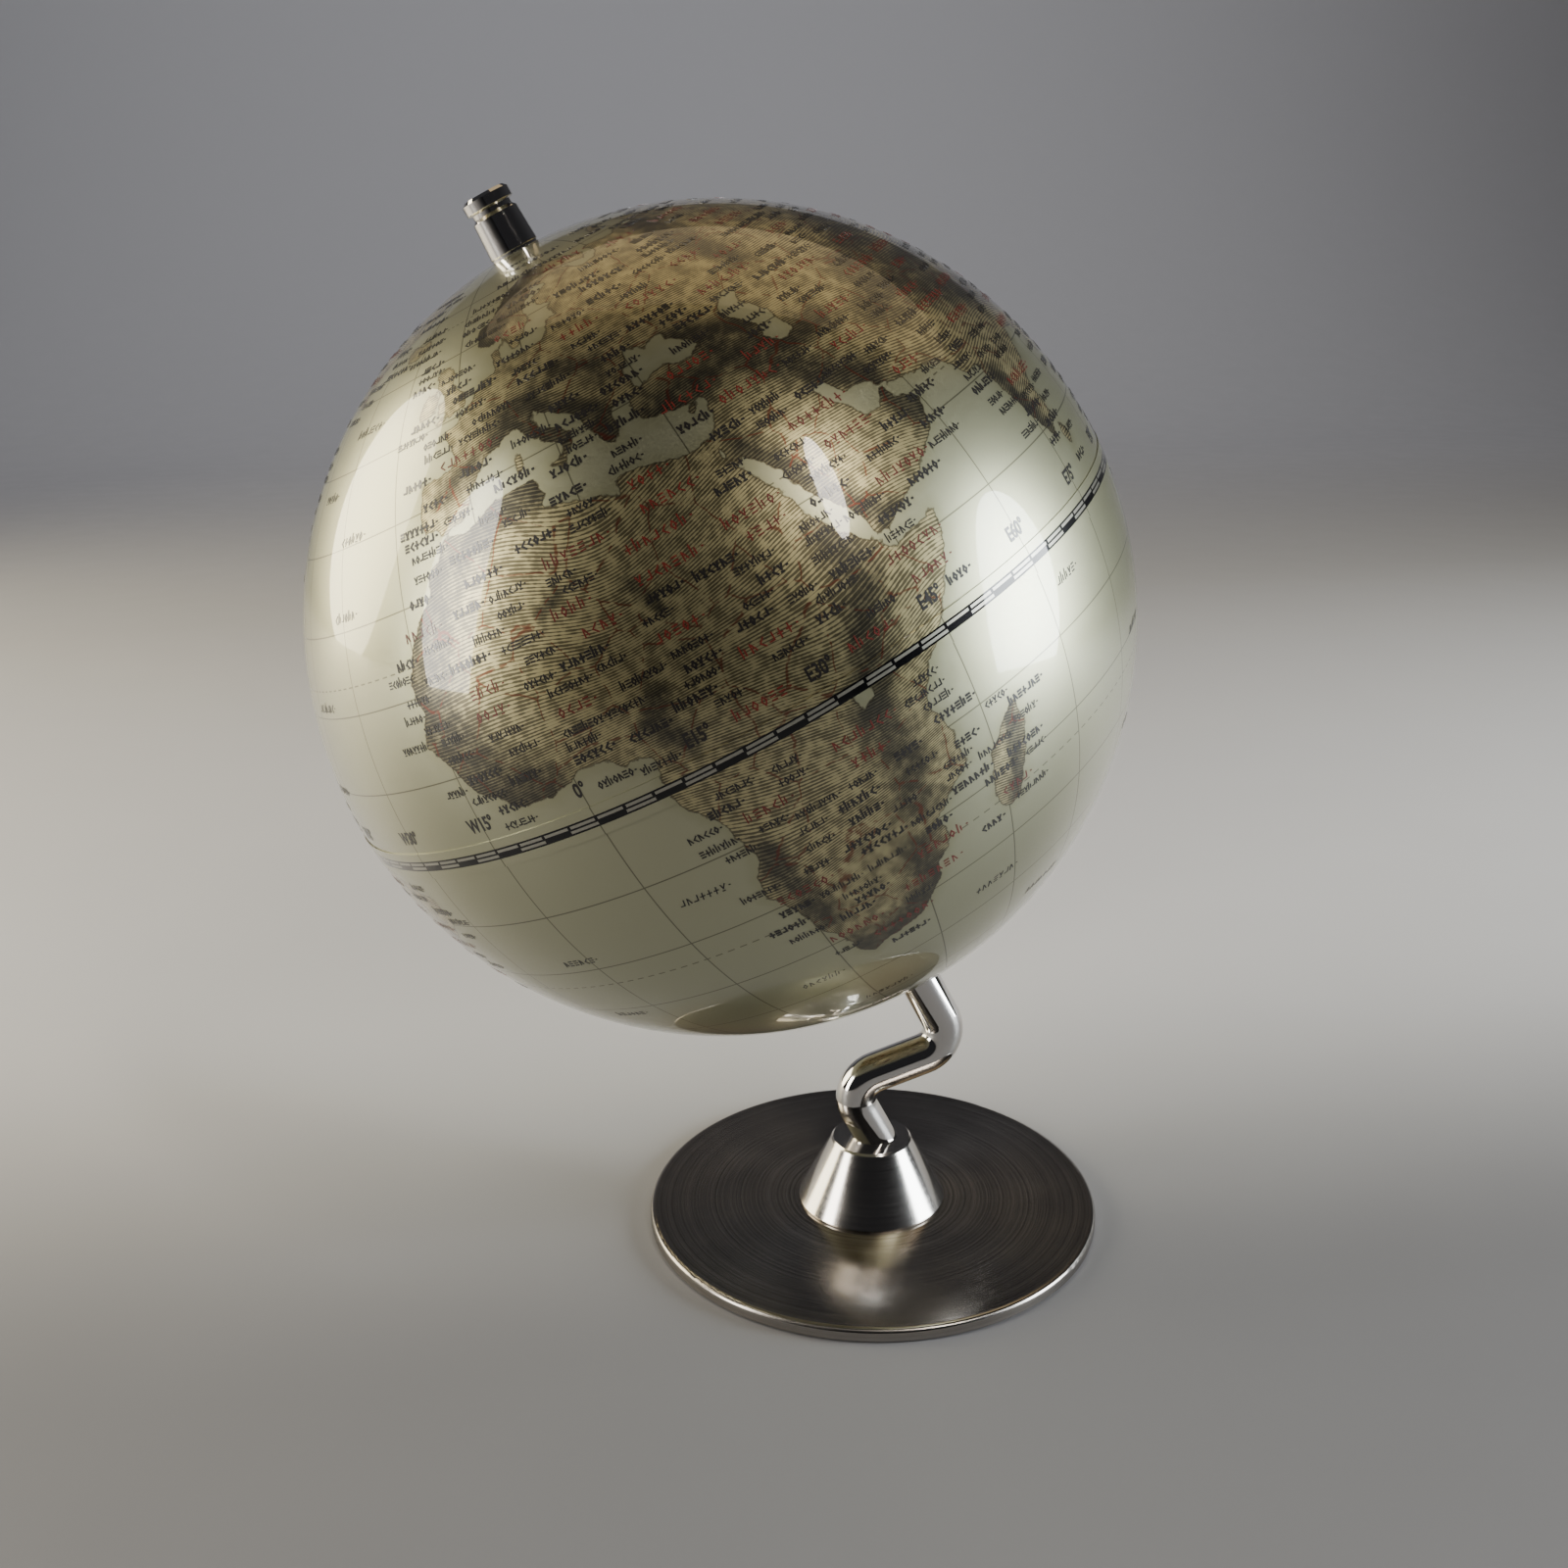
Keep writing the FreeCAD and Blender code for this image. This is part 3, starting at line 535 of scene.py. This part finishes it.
def makeNames(name, groups):
    # One piece of ink from several groups of names
    corners, faces = [], []
    for places, look, chance in groups:
        for lon, lat in places:
            count = chance.randint(*look["marks"])
            for quad in nameStrokes(count, look, chance):
                flat = np.array([(p.x, p.y, 0) for p in quad])
                faces.append(list(range(len(corners), len(corners) + 4)))
                corners += [tuple(p) for p in wrapOnBall(flat, lon, lat, ball["radius"] + ink["above"])]
    mesh = bpy.data.meshes.new(name)
    mesh.from_pydata(corners, [], faces)
    piece = bpy.data.objects.new(name, mesh)
    bpy.context.collection.objects.link(piece)
    applyModifier(piece, "SOLIDIFY", thickness=ink["thick"], offset=1)
    piece.matrix_world = ballPlace
    applyPlace(piece)
    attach(piece, "globe")
    return piece


# Names by kind: "space" is the room each keeps in degrees, "coast" how far from the shore it must be
townLook = {"marks": (5, 8), "height": 1.2 * mm, "width": 0.2 * mm, "spread": 0.62, "slant": 0.0,
            "space": (2.6, 1.5), "coast": -2.5}
boldLook = {"marks": (4, 7), "height": 1.3 * mm, "width": 0.29 * mm, "spread": 0.7, "slant": 0.0}
landLook = {"marks": (4, 7), "height": 1.6 * mm, "width": 0.19 * mm, "spread": 0.78, "slant": 0.0,
            "space": (4.2, 2.2), "coast": 0.8}
seaLook = {"marks": (4, 7), "height": 1.4 * mm, "width": 0.18 * mm, "spread": 0.72, "slant": 0.25,
           "space": (7.0, 4.0), "coast": -4.5}

chance = random.Random(ink["nameSeed"])
taken = []
seaPlaces = findPlaces(ink["seaNames"], lambda coast: coast < seaLook["coast"], seaLook["space"], taken,
                       chance)
landPlaces = findPlaces(ink["landNames"], lambda coast: coast > landLook["coast"], landLook["space"], taken,
                        chance)
townPlaces = findPlaces(ink["townNames"], lambda coast: coast > townLook["coast"], townLook["space"], taken,
                        chance)
split = len(townPlaces) // 3
numbers = makeNumbers()
blackNames = []
for half, sign in (("north", 1), ("south", -1)):
    groups = [([place for place in places if place[1] * sign > 0], look, chance) for places, look in (
        (townPlaces[split:], townLook), (townPlaces[:split], boldLook), (seaPlaces, seaLook))]
    blackNames.append(makeNames(half + "_name_strokes", groups))
redNames = makeNames("land_name_strokes", [(landPlaces, landLook, chance)])
print("ink made:", len(townPlaces), "towns,", len(landPlaces), "lands,", len(seaPlaces), "seas")


mapLook = {
    "ocean": "#b6b698",
    "oceanShore": "#aaa988",
    "land": "#d0c698",
    "landLow": "#bbb084",
    "hatchInk": "#2a2824",
    "relief": "#24262b",
    "coastInk": "#3a3024",
    "borderInk": "#6e3226",
    "gridInk": "#3c382c",
    "metallic": 0.88,
    "roughness": 0.34,
    "coatRoughness": 0.02,
    "hatchDegrees": 0.6,         # engraved lines every 0.3 to 0.6 mm, coarser than print so that they show
    "hatchBend": 26 * mm,
    "hatchBreak": 1.5 * mm,
    "coastWander": 0.9,          # degrees the small bays move the coast
    "bay": 2.6 * mm,
    "rock": 2.4 * mm,
    "plain": 12 * mm,
    "borderCell": 8.5 * mm,
    "borderDrift": 6 * mm,
    "borderMove": 2.2 * mm,
    "parallelEvery": 10.0,
    "meridianEvery": 15.0,
    "dashEvery": 1.8,
    "dashedCircles": (23.44, 66.56),
    "line": (0.05, 0.11),        # degrees from a grid line where its ink starts to fade, and where it ends
    "flake": 0.25 * mm,          # real flakes are near 0.03 mm, too fine to show
}
barLook = {"silver": "#aaa89c", "black": "#0d0d0f"}


def mapColour(tree):
    # Colour of the printed map at a point, and the point about the ball's own axis
    coords = addNode(tree, "TexCoord", out=3)
    local = addNode(tree, "Mapping", (coords, ballCentre, ballTurn.to_euler("XYZ")), vector_type="TEXTURE")
    x, y, z = [addNode(tree, "SeparateXYZ", (local,), out=n) for n in range(3)]
    sine = addNode(tree, "Math", (z, ball["radius"]), operation="DIVIDE")
    lat = addNode(tree, "Math", (addNode(tree, "Math", (sine,), operation="ARCSINE"),), operation="DEGREES")
    turn = addNode(tree, "Math", (y, x), operation="ARCTAN2")
    lon = addNode(tree, "Math", (turn,), operation="DEGREES")
    squeeze = addNode(tree, "Math", (addNode(tree, "Math", (lat,), operation="RADIANS"),), operation="COSINE")

    # The coast, roughened by small bays, splits sea from land
    bays = addNode(tree, "TexNoise", {
        "Vector": local, "Scale": 1 / mapLook["bay"], "Detail": 4.0, "Roughness": 0.6})
    bayMove = addNode(tree, "Math", (bays, 0.5), operation="SUBTRACT")
    coast = addNode(tree, "Attribute", out=2, attribute_name="coast")
    wander = addNode(tree, "Math", (bayMove, mapLook["coastWander"] * 2, coast), operation="MULTIPLY_ADD")
    land = addNode(tree, "MapRange", (wander, -0.05, 0.05, 0.0, 1.0))
    shore = addNode(tree, "MapRange", (wander, -2.2, 0.0, 0.0, 0.8), interpolation_type="SMOOTHSTEP")
    shoreDistance = addNode(tree, "Math", (wander,), operation="ABSOLUTE")
    coastLine = addNode(tree, "MapRange", (shoreDistance, 0.06, 0.15, 0.6, 0.0))

    # Engraved hatching that bends with the ground, broken up along its length
    bend = addNode(tree, "TexNoise", {"Vector": local, "Scale": 1 / mapLook["hatchBend"], "Detail": 0.0})
    steep = addNode(tree, "Math", (lat, 1.7), operation="MULTIPLY")
    swept = addNode(tree, "Math", (bend, 17.0, steep), operation="MULTIPLY_ADD")
    hatchWave = addNode(tree, "Math", (swept, mapLook["hatchDegrees"] / 2), operation="PINGPONG")
    breaks = addNode(tree, "TexNoise", {"Vector": local, "Scale": 1 / mapLook["hatchBreak"], "Detail": 2.0})
    relief = addNode(tree, "Attribute", out=2, attribute_name="relief")
    heavier = addNode(tree, "Math", (relief, 0.10, breaks), operation="MULTIPLY_ADD")
    hatchEdge = addNode(tree, "MapRange", (heavier, 0.3, 0.66, 0.03, 0.25))
    hatchSide = addNode(tree, "Math", (hatchEdge, hatchWave), operation="SUBTRACT")
    hatch = addNode(tree, "MapRange", (hatchSide, -0.03, 0.04, 0.0, 0.76))

    # High ground: charcoal mottling, and dark edges just inside the coast
    rocks = addNode(tree, "TexNoise", {
        "Vector": local, "Scale": 1 / mapLook["rock"], "Detail": 8.0, "Roughness": 0.8})
    inner = addNode(tree, "MapRange", (wander, 0.0, 2.2, 0.35, 0.0))
    high = addNode(tree, "Math", (relief, inner), operation="ADD")
    rockLevel = addNode(tree, "Math", (high, 0.42, rocks), operation="MULTIPLY_ADD")
    rock = addNode(tree, "MapRange", (rockLevel, 0.58, 0.95, 0.0, 0.72))

    # Borders between countries: the edges of wandering cells
    drift = addNode(tree, "TexNoise", {"Vector": local, "Scale": 1 / mapLook["borderDrift"], "Detail": 3.0},
                    out=1)
    driftSmall = addNode(tree, "VectorMath", {0: drift, "Scale": mapLook["borderMove"]}, operation="SCALE")
    moved = addNode(tree, "VectorMath", (local, driftSmall), operation="ADD")
    cells = addNode(tree, "TexVoronoi", {"Vector": moved, "Scale": 1 / mapLook["borderCell"]},
                    feature="DISTANCE_TO_EDGE")
    edge = addNode(tree, "MapRange", (cells, 0.006, 0.016, 0.7, 0.0))
    gaps = addNode(tree, "MapRange", (breaks, 0.42, 0.5, 0.0, 1.0))
    border = addNode(tree, "Math", (edge, gaps), operation="MULTIPLY")

    # Grid: parallels every 10 degrees, meridians every 15, dashed tropics and polar circles
    toParallel = addNode(tree, "Math", (lat, mapLook["parallelEvery"] / 2), operation="PINGPONG")
    lonSpan = addNode(tree, "Math", (lon, mapLook["meridianEvery"] / 2), operation="PINGPONG")
    toMeridian = addNode(tree, "Math", (lonSpan, squeeze), operation="MULTIPLY")
    toLine = addNode(tree, "Math", (toParallel, toMeridian), operation="MINIMUM")
    grid = addNode(tree, "MapRange", (toLine, *mapLook["line"], 0.7, 0.0))
    away = addNode(tree, "Math", (lat,), operation="ABSOLUTE")
    dashSpan = addNode(tree, "Math", (lon, mapLook["dashEvery"] / 2), operation="PINGPONG")
    dashGate = addNode(tree, "Math", (dashSpan, 0.5), operation="LESS_THAN")
    for circle in mapLook["dashedCircles"]:
        pastCircle = addNode(tree, "Math", (away, circle), operation="SUBTRACT")
        toCircle = addNode(tree, "Math", (pastCircle,), operation="ABSOLUTE")
        dash = addNode(tree, "MapRange", (toCircle, *mapLook["line"], 0.7, 0.0))
        dashed = addNode(tree, "Math", (dash, dashGate), operation="MULTIPLY")
        grid = addNode(tree, "Math", (grid, dashed), operation="MAXIMUM")

    # Printed layers, from the bottom up
    plains = addNode(tree, "TexNoise", {"Vector": local, "Scale": 1 / mapLook["plain"], "Detail": 3.0})
    landTones = {0: plains, 6: hexColour(mapLook["land"]), 7: hexColour(mapLook["landLow"])}
    landTone = addNode(tree, "Mix", landTones, out=2, data_type="RGBA")
    seaTones = {0: shore, 6: hexColour(mapLook["ocean"]), 7: hexColour(mapLook["oceanShore"])}
    seaTone = addNode(tree, "Mix", seaTones, out=2, data_type="RGBA")
    for mask, tone in ((hatch, "hatchInk"), (rock, "relief"), (border, "borderInk")):
        landTones = {0: mask, 6: landTone, 7: hexColour(mapLook[tone])}
        landTone = addNode(tree, "Mix", landTones, out=2, data_type="RGBA")
    seaTones = {0: grid, 6: seaTone, 7: hexColour(mapLook["gridInk"])}
    seaTone = addNode(tree, "Mix", seaTones, out=2, data_type="RGBA")
    tone = addNode(tree, "Mix", {0: land, 6: seaTone, 7: landTone}, out=2, data_type="RGBA")
    inkedTones = {0: coastLine, 6: tone, 7: hexColour(mapLook["coastInk"])}
    tone = addNode(tree, "Mix", inkedTones, out=2, data_type="RGBA")
    return tone, local, lon, z


def lacquered(tree, tone, local):
    # Pearl pigment under clear gloss: fine flake sparkle below, a smooth coat above
    flakes = addNode(tree, "TexNoise", {"Vector": local, "Scale": 1 / mapLook["flake"], "Detail": 1.0})
    sheenLow, sheenHigh = mapLook["roughness"] - 0.04, mapLook["roughness"] + 0.05
    sheen = addNode(tree, "MapRange", (flakes, 0.3, 0.7, sheenLow, sheenHigh))
    grain = addNode(tree, "Bump", {"Height": flakes, "Strength": 0.05, "Distance": 0.05 * mm})
    return addNode(tree, "BsdfPrincipled", {
        "Base Color": tone, "Metallic": mapLook["metallic"], "Roughness": sheen, "Normal": grain,
        "Coat Weight": 1.0, "Coat Roughness": mapLook["coatRoughness"], "Coat IOR": 1.5})


def mapLacquer():
    # Printed metallised foil, sprayed with clear polyurethane: champagne pearl with mirror-clear gloss on top
    material, tree = newMaterial("printed_foil_clear_lacquer")
    tone, local = mapColour(tree)[:2]
    addNode(tree, "OutputMaterial", {"Surface": lacquered(tree, tone, local)})
    return material


def tapeLacquer():
    # The same foil as a tape along the equator, with its two-row scale bar
    material, tree = newMaterial("printed_equator_tape_lacquer")
    tone, local, lon, z = mapColour(tree)
    away = addNode(tree, "Math", (z,), operation="ABSOLUTE")
    inBar = addNode(tree, "Math", (away, tape["barHalf"]), operation="LESS_THAN")
    middleLine = addNode(tree, "Math", (away, tape["lineHalf"]), operation="LESS_THAN")
    outerStart = tape["barHalf"] - 2 * tape["lineHalf"]
    outerLine = addNode(tree, "Math", (away, outerStart), operation="GREATER_THAN")
    upper = addNode(tree, "Math", (z, 0.0), operation="GREATER_THAN")
    lower = addNode(tree, "Math", (1.0, upper), operation="SUBTRACT")
    toCell = addNode(tree, "Math", (lon, tape["cellDegrees"] / 2), operation="PINGPONG")
    separator = addNode(tree, "Math", (toCell, 0.2), operation="LESS_THAN")
    pairPlace = addNode(tree, "Math", (lon, 2 * tape["cellDegrees"]), operation="FLOORED_MODULO")
    filled = addNode(tree, "Math", (pairPlace, tape["cellDegrees"]), operation="LESS_THAN")
    upperBlack = addNode(tree, "Math", (separator, upper), operation="MULTIPLY")
    lowerBlack = addNode(tree, "Math", (filled, lower), operation="MULTIPLY")
    black = upperBlack
    for mask in (lowerBlack, middleLine, outerLine):
        black = addNode(tree, "Math", (black, mask), operation="MAXIMUM")
    barTones = {0: black, 6: hexColour(barLook["silver"]), 7: hexColour(barLook["black"])}
    bar = addNode(tree, "Mix", barTones, out=2, data_type="RGBA")
    tone = addNode(tree, "Mix", {0: inBar, 6: tone, 7: bar}, out=2, data_type="RGBA")
    addNode(tree, "OutputMaterial", {"Surface": lacquered(tree, tone, local)})
    return material


def printedInk(name, colour):
    # Screen printed ink under the same clear lacquer: flat colour, glossy face
    material, tree = newMaterial(name)
    coords = addNode(tree, "TexCoord", out=3)
    specks = addNode(tree, "TexNoise", {"Vector": coords, "Scale": 1 / (0.4 * mm), "Detail": 2.0})
    tone = addNode(tree, "Mix", {0: specks, 6: hexColour(colour[0]), 7: hexColour(colour[1])}, out=2,
                   data_type="RGBA")
    face = addNode(tree, "BsdfPrincipled", {
        "Base Color": tone, "Roughness": 0.4, "Coat Weight": 1.0, "Coat Roughness": 0.02, "Coat IOR": 1.5})
    addNode(tree, "OutputMaterial", {"Surface": face})
    return material


def chromePlate():
    # Bright nickel-chrome plate on a polished rod: mirror face, faint ripple left by the polishing wheel
    material, tree = newMaterial("bright_chrome_plate")
    coords = addNode(tree, "TexCoord", out=3)
    ripple = addNode(tree, "TexNoise", {"Vector": coords, "Scale": 1 / (5 * mm), "Detail": 2.0})
    hairlines = addNode(tree, "TexNoise", {"Vector": coords, "Scale": 1 / (0.3 * mm), "Detail": 2.0})
    gloss = addNode(tree, "MapRange", (hairlines, 0.3, 0.7, 0.03, 0.07))
    normal = addNode(tree, "Bump", {"Height": ripple, "Strength": 0.05, "Distance": 0.1 * mm})
    face = addNode(tree, "BsdfPrincipled", {
        "Base Color": hexColour("#dcd9d6"), "Metallic": 1.0, "Roughness": gloss, "Normal": normal})
    addNode(tree, "OutputMaterial", {"Surface": face})
    return material


def turnedSteel(name, tone, roughness, anisotropy, pitch, depth):
    # Lathe-turned stainless steel: fine rings about the upright axis that pull reflections across them.
    # The rings are drawn several times coarser than the real tool marks, which are too fine to show
    material, tree = newMaterial(name)
    coords = addNode(tree, "TexCoord", out=3)
    x, y, z = [addNode(tree, "SeparateXYZ", (coords,), out=n) for n in range(3)]
    flat = addNode(tree, "CombineXYZ", (x, y, 0.0))
    reach = addNode(tree, "VectorMath", (flat,), out=1, operation="LENGTH")
    ringPlace = addNode(tree, "CombineXYZ", (reach, 0.0, z))
    rings = addNode(tree, "TexNoise", {
        "Vector": ringPlace, "Scale": 1 / pitch, "Detail": 3.0, "Roughness": 0.7})
    broad = addNode(tree, "TexNoise", {"Vector": coords, "Scale": 1 / (9 * mm), "Detail": 3.0})
    mixed = addNode(tree, "Math", (rings, 0.7, addNode(tree, "Math", (broad, 0.3), operation="MULTIPLY")),
                    operation="MULTIPLY_ADD")
    gloss = addNode(tree, "MapRange", (mixed, 0.3, 0.7, roughness - 0.05, roughness + 0.06))
    shades = {0: rings, 6: hexColour(tone[0]), 7: hexColour(tone[1])}
    shade = addNode(tree, "Mix", shades, out=2, data_type="RGBA")
    normal = addNode(tree, "Bump", {"Height": rings, "Strength": 0.5, "Distance": depth})
    around = addNode(tree, "Tangent", direction_type="RADIAL", axis="Z")
    face = addNode(tree, "BsdfPrincipled", {
        "Base Color": shade, "Metallic": 1.0, "Roughness": gloss, "Anisotropic": anisotropy,
        "Tangent": around, "Normal": normal})
    addNode(tree, "OutputMaterial", {"Surface": face})
    return material


def plainPart(name, tones, roughness, grain, depth, metallic=0.0):
    # Hidden and workaday parts: mottled colour, and the texture the process leaves
    material, tree = newMaterial(name)
    coords = addNode(tree, "TexCoord", out=3)
    texture = addNode(tree, "TexNoise", {"Vector": coords, "Scale": 1 / grain, "Detail": 4.0})
    tone = addNode(tree, "Mix", {0: texture, 6: hexColour(tones[0]), 7: hexColour(tones[1])}, out=2,
                   data_type="RGBA")
    gloss = addNode(tree, "MapRange", (texture, 0.2, 0.8, roughness - 0.06, roughness + 0.06))
    normal = addNode(tree, "Bump", {"Height": texture, "Strength": 0.4, "Distance": depth})
    face = addNode(tree, "BsdfPrincipled", {
        "Base Color": tone, "Metallic": metallic, "Roughness": gloss, "Normal": normal})
    addNode(tree, "OutputMaterial", {"Surface": face})
    return material


foil = mapLacquer()
chrome = chromePlate()
brushedPlate = turnedSteel("brushed_stainless_plate", ("#7d7771", "#c0bbb5"), roughness=0.2, anisotropy=0.8,
                           pitch=0.3 * mm, depth=0.005 * mm)
polishedCone = turnedSteel("polished_turned_stainless", ("#c2beb9", "#cfcbc6"), roughness=0.13,
                           anisotropy=0.6, pitch=0.18 * mm, depth=0.002 * mm)
zinc = plainPart("zinc_plated_steel", ("#9a9ca0", "#b9bbbe"), 0.34, 0.5 * mm, 0.01 * mm, metallic=1.0)
nylon = plainPart("turned_natural_nylon", ("#d9d6c8", "#e6e3d8"), 0.45, 0.4 * mm, 0.01 * mm)
styrene = plainPart("moulded_styrene_shell", ("#c9c6be", "#d6d3cb"), 0.5, 1.2 * mm, 0.02 * mm)
card = plainPart("wound_kraft_card", ("#8f7350", "#a98b64"), 0.8, 0.6 * mm, 0.03 * mm)
foam = plainPart("closed_cell_eva_foam", ("#141414", "#222222"), 0.85, 0.35 * mm, 0.05 * mm)

nodeMaterials = {
    "base_disc": brushedPlate,
    "cone_collar": polishedCone,
    "support_rod": chrome,
    "finial_knob": chrome,
    "base_screw": zinc,
    "rod_set_screw": zinc,
    "disc_springs": zinc,
    "south_washer": nylon,
    "north_washer": nylon,
    "south_bush": nylon,
    "north_bush": nylon,
    "south_shell": styrene,
    "north_shell": styrene,
    "joining_ring": styrene,
    "axle_tube": card,
    "base_pad": foam,
    "north_map": foil,
    "south_map": foil,
    "equator_tape": foil,
}


def giveMaterial(piece, material):
    piece.data.materials.clear()
    piece.data.materials.append(material)


for nodeName, material in nodeMaterials.items():
    node = frame["nodes"][nodeName]
    if not node.material_slots:
        node.data.materials.append(material)
    for place in node.material_slots:
        place.material = material
for skin in (northSkin, southSkin):
    giveMaterial(skin, foil)
giveMaterial(equatorBand, tapeLacquer())
blackInk = printedInk("black_screen_ink_lacquered", ("#120f0d", "#1c1815"))
for piece in blackNames + [numbers]:
    giveMaterial(piece, blackInk)
giveMaterial(redNames, printedInk("dark_red_screen_ink_lacquered", ("#5c1a13", "#702218")))
print("materials given")


# Studio: pale sweep, soft lights, and the camera

studio = {
    "floorSize": 14.0,
    "wallBehind": 2.4,
    "wallHeight": 1.1,
    "cornerRound": 1.0,
    # Paper colour by depth: the pale band just behind the stand is a painted pool of light, and the darker
    # front and far end are painted shade
    "paperToneAndPaintedLight": [(-0.4, "#7e7e81"), (-0.04, "#7e7e81"), (0.1, "#dadadc"), (1.2, "#a2a2a5")],
    "skyDark": "#29292b",
    "skyPale": "#414144",
}


def makeSweep():
    deselectAll()
    bpy.ops.mesh.primitive_plane_add(size=studio["floorSize"], location=(0, 0, 0))
    sweep = takeNew("studio_sweep")
    bpy.ops.object.mode_set(mode="EDIT")
    bpy.ops.mesh.select_all(action="DESELECT")
    bpy.ops.object.mode_set(mode="OBJECT")
    for vertex in sweep.data.vertices:
        if vertex.co.y > 0:
            vertex.co.y = studio["wallBehind"]
    for edge in sweep.data.edges:
        edge.select = all(sweep.data.vertices[n].co.y > 0 for n in edge.vertices)
    bpy.ops.object.mode_set(mode="EDIT")
    bpy.ops.mesh.extrude_region_move(TRANSFORM_OT_translate={"value": (0, 0, studio["wallHeight"])})
    bpy.ops.object.mode_set(mode="OBJECT")
    for edge in sweep.data.edges:
        ends = [sweep.data.vertices[n].co for n in edge.vertices]
        edge.select = all(abs(end.y - studio["wallBehind"]) < 0.01 and abs(end.z) < 0.01 for end in ends)
    bpy.ops.object.mode_set(mode="EDIT")
    bpy.ops.mesh.bevel(offset=studio["cornerRound"], segments=24, affect="EDGES")
    bpy.ops.object.mode_set(mode="OBJECT")
    bpy.ops.object.shade_smooth()
    # Backdrop paper graded by depth: a painted pool of light where the stand is, with painted shade at the
    # front and far end
    material, tree = newMaterial("backdrop_paper_with_painted_light")
    coords = addNode(tree, "TexCoord", out=3)
    fibre = addNode(tree, "TexNoise", {"Vector": coords, "Scale": 40.0, "Detail": 4.0})
    gloss = addNode(tree, "MapRange", (fibre, 0.3, 0.7, 0.55, 0.65))
    depth = addNode(tree, "SeparateXYZ", (coords,), out=1)
    tone = hexColour(studio["paperToneAndPaintedLight"][0][1])
    for (start, before), (end, after) in zip(studio["paperToneAndPaintedLight"], studio["paperToneAndPaintedLight"][1:]):
        share = addNode(tree, "MapRange", (depth, start, end, 0.0, 1.0), interpolation_type="SMOOTHSTEP")
        tone = addNode(tree, "Mix", {0: share, 6: tone, 7: hexColour(after)}, out=2, data_type="RGBA")
    face = addNode(tree, "BsdfPrincipled", {"Base Color": tone, "Roughness": gloss})
    addNode(tree, "OutputMaterial", {"Surface": face})
    giveMaterial(sweep, material)
    applyPlace(sweep)


# Soft panels about the ball: angles in degrees from straight ahead of the lens, plus to the right
panels = {
    "leftWindow": {"turn": -72, "up": 10, "away": 0.8, "wide": 0.24, "tall": 0.8,
        "power": 6, "tone": "#fffaf0"},
    "rightStrip": {"turn": 34, "up": 42, "away": 0.8, "wide": 0.08, "tall": 0.36,
        "power": 1.8, "tone": "#fff6ea"},
    "rightWindow": {"turn": 82, "up": 6, "away": 0.9, "wide": 0.42, "tall": 0.7,
        "power": 15, "tone": "#f4fbff"},
    "leftFill": {"turn": -112, "up": 14, "away": 1.0, "wide": 0.6, "tall": 0.8,
        "power": 9, "tone": "#fff3d4"},
    "topGlow": {"turn": 178, "up": 62, "away": 1.0, "wide": 1.6, "tall": 0.7,
        "power": 1.6, "tone": "#ffe3b0", "aim": (0, 0.35, 0)},
    "paperWash": {"turn": 180, "up": 42, "away": 1.4, "wide": 3.0, "tall": 0.5,
        "power": 14, "tone": "#fbfbff", "aim": (0, 2.4, 0.5)},
}
lens = {
    "place": (-48.98 * mm, -248.25 * mm, 159.13 * mm),
    "right": (0.98986, -0.14111, -0.01598),
    "down": (-0.05678, -0.29015, -0.95529),
    "focal": 36.05,
    "sensor": 36.0,
}


def makeCamera():
    data = bpy.data.cameras.new("camera")
    data.lens = lens["focal"]
    data.sensor_width = lens["sensor"]
    data.clip_start = 0.01
    camera = bpy.data.objects.new("camera", data)
    bpy.context.collection.objects.link(camera)
    right = Vector(lens["right"]).normalized()
    up = -Vector(lens["down"]).normalized()
    back = right.cross(up).normalized()
    turn = Matrix((right, back.cross(right), back)).transposed()
    camera.matrix_world = Matrix.Translation(Vector(lens["place"])) @ turn.to_4x4()
    bpy.context.scene.camera = camera


def makePanels():
    towards = Vector(lens["place"]) - ballCentre
    facing = math.atan2(towards.y, towards.x)
    for name, panel in panels.items():
        data = bpy.data.lights.new(name, "AREA")
        data.shape = "ELLIPSE"
        data.size = panel["wide"]
        data.size_y = panel["tall"]
        data.energy = panel["power"]
        data.color = hexColour(panel["tone"])[:3]
        light = bpy.data.objects.new(name, data)
        bpy.context.collection.objects.link(light)
        turn = facing + math.radians(panel["turn"])
        up = math.radians(panel["up"])
        way = Vector((math.cos(turn) * math.cos(up), math.sin(turn) * math.cos(up), math.sin(up)))
        light.location = ballCentre + way * panel["away"]
        aim = Vector(panel.get("aim", ballCentre))
        light.rotation_euler = (light.location - aim).to_track_quat("Z", "Y").to_euler()


def makeWorld():
    # A dark room behind the lens, a paler one beyond the globe
    world = bpy.data.worlds.new("studio")
    bpy.context.scene.world = world
    world.use_nodes = True
    tree = world.node_tree
    tree.nodes.clear()
    way = addNode(tree, "TexCoord", out=0)
    depth = addNode(tree, "SeparateXYZ", (way,), out=1)
    share = addNode(tree, "MapRange", (depth, -0.5, 0.8, 0.0, 1.0), interpolation_type="SMOOTHSTEP")
    tones = {0: share, 6: hexColour(studio["skyDark"]), 7: hexColour(studio["skyPale"])}
    tone = addNode(tree, "Mix", tones, out=2, data_type="RGBA")
    glow = addNode(tree, "Background", {"Color": tone, "Strength": 0.9})
    addNode(tree, "OutputWorld", {"Surface": glow})


makeSweep()
makePanels()
makeWorld()
makeCamera()
print("studio ready")
